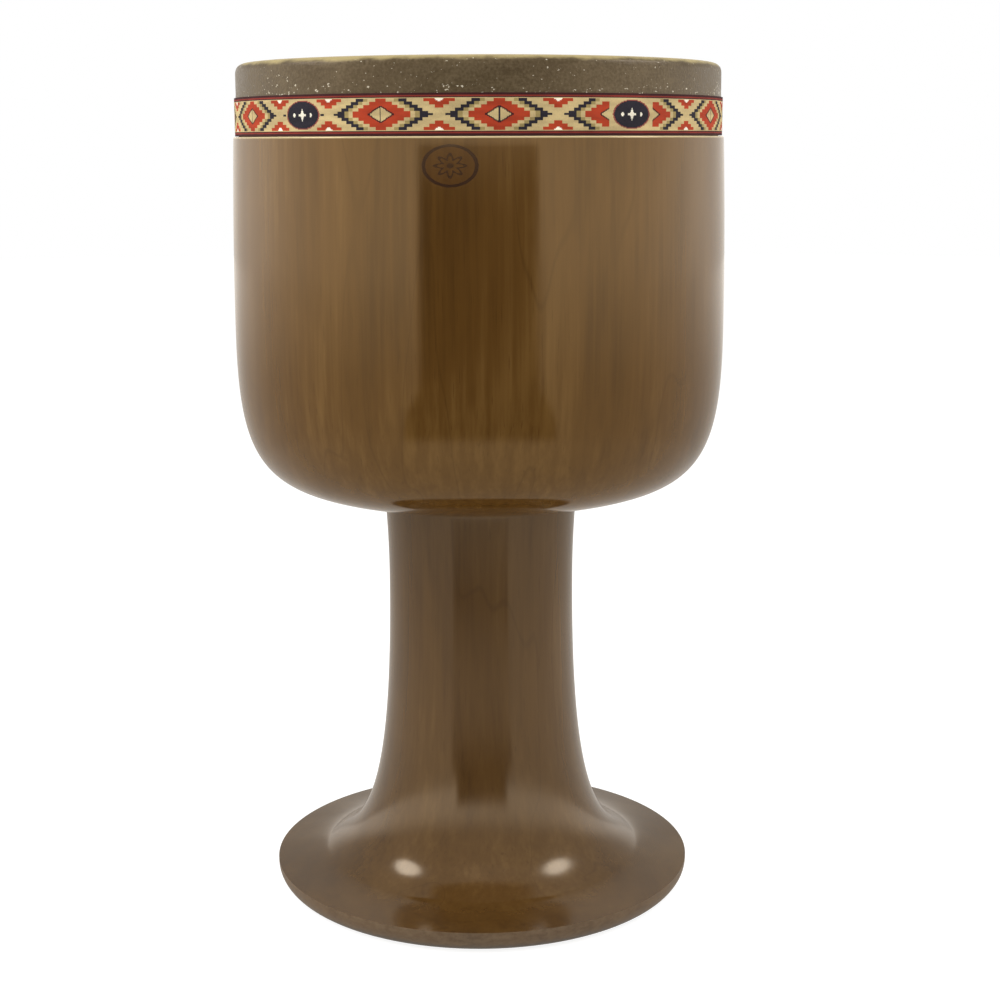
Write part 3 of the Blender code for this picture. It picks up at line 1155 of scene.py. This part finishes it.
def hangLamps():
    s = sideLamps
    flat = s["distance"] * math.cos(s["elevation"])
    for side in (-1, 1):
        lamp = bpy.data.lights.new("sideLamp", "AREA")
        lamp.shape = "DISK"
        lamp.size = s["size"]
        lamp.energy = s["power"]
        across = side * flat * math.sin(s["azimuth"])
        place = Vector((across, -flat * math.cos(s["azimuth"]), s["distance"] * math.sin(s["elevation"])))
        hang("sideLamp", lamp, place, s["aim"])
    for fillLamp in fillLamps:
        lamp = bpy.data.lights.new("fillLamp", "AREA")
        lamp.size = fillLamp["size"]
        lamp.energy = fillLamp["power"]
        fill = hang("fillLamp", lamp, Vector(fillLamp["place"]), fillLamp["aim"])
        fill.visible_glossy = False


def lightWorld():
    world = bpy.data.worlds.new("whiteStudio")
    world.use_nodes = True
    tree = world.node_tree
    direction = addNode(tree, "ShaderNodeTexCoord").outputs["Generated"]
    front, height = frontness(tree, direction)
    gap = maths(tree, "MULTIPLY", gapMask(tree, front), remap(tree, height, *studio["gapTop"], 1.0, 0.0))
    eyeLevel = remap(tree, front, *studio["backTurn"], studio["backLevel"], studio["highLevel"])
    level = mixLevel(tree, remap(tree, height, *studio["eyeHeights"]), studio["lowLevel"], eyeLevel)
    level = mixLevel(tree, remap(tree, height, *studio["upperHeights"]), level, studio["upperLevel"])
    level = mixLevel(tree, gap, level, studio["gapLevel"])
    # The camera itself sees plain white
    seen = addNode(tree, "ShaderNodeLightPath").outputs["Is Camera Ray"]
    feed(tree, tree.nodes["Background"], {
        "Color": mixColour(tree, seen, rgba(studio["warmth"]), grey(1.0)),
        "Strength": mixLevel(tree, seen, level, 1.0),
    })
    bpy.context.scene.world = world


def layFloor():
    bpy.ops.mesh.primitive_circle_add(vertices=96, radius=studio["floorRadius"], fill_type="NGON")
    floor = bpy.context.object
    floor.name = "studio_floor"
    finish = bpy.data.materials.new("whitePaper")
    finish.use_nodes = True
    tree = finish.node_tree
    tree.nodes.remove(tree.nodes["Principled BSDF"])
    coordinates = addNode(tree, "ShaderNodeTexCoord").outputs["Object"]
    path = addNode(tree, "ShaderNodeLightPath")
    paper = addNode(tree, "ShaderNodeBsdfDiffuse", {"Color": grey(studio["paper"])})
    seenPaper = addNode(tree, "ShaderNodeBsdfDiffuse", {"Color": grey(studio["seenPaper"])})
    glow = addNode(tree, "ShaderNodeEmission", {"Strength": studio["seenGlow"]})
    seen = addNode(tree, "ShaderNodeAddShader", {0: seenPaper.outputs[0], 1: glow.outputs[0]})
    length = addNode(tree, "ShaderNodeVectorMath", {0: coordinates}, operation="LENGTH").outputs["Value"]
    widened = remap(tree, length, *studio["nearReach"], studio["nearWidening"], 0.0)
    gap = gapMask(tree, maths(tree, "ADD", frontness(tree, coordinates)[0], widened))
    edge, softness = studio["paperEdge"], studio["paperSoftness"]
    beyond = remap(tree, length, edge - softness, edge + softness)
    openFloor = remap(tree, length, *studio["openFloor"], studio["lowLevel"], studio["horizonLevel"])
    far = mixLevel(tree, gap, openFloor, studio["gapLevel"])
    level = mixLevel(tree, beyond, studio["nearLevel"], far)
    mirrored = addNode(tree, "ShaderNodeEmission", {"Color": rgba(studio["warmth"]), "Strength": level})
    first = addNode(tree, "ShaderNodeMixShader", {
        0: path.outputs["Is Glossy Ray"], 1: paper.outputs[0], 2: mirrored.outputs[0],
    })
    last = addNode(tree, "ShaderNodeMixShader", {
        0: path.outputs["Is Camera Ray"], 1: first.outputs[0], 2: seen.outputs[0],
    })
    feed(tree, tree.nodes["Material Output"], {"Surface": last.outputs[0]})
    floor.data.materials.append(finish)


bpy.context.scene.view_settings.view_transform = "Standard"
placeCamera()
lightWorld()
hangLamps()
layFloor()
print("studio lit")
bowlPiece = makeBowl()
makeThroat()
skinPiece = makeSkin()
makeRibbon()
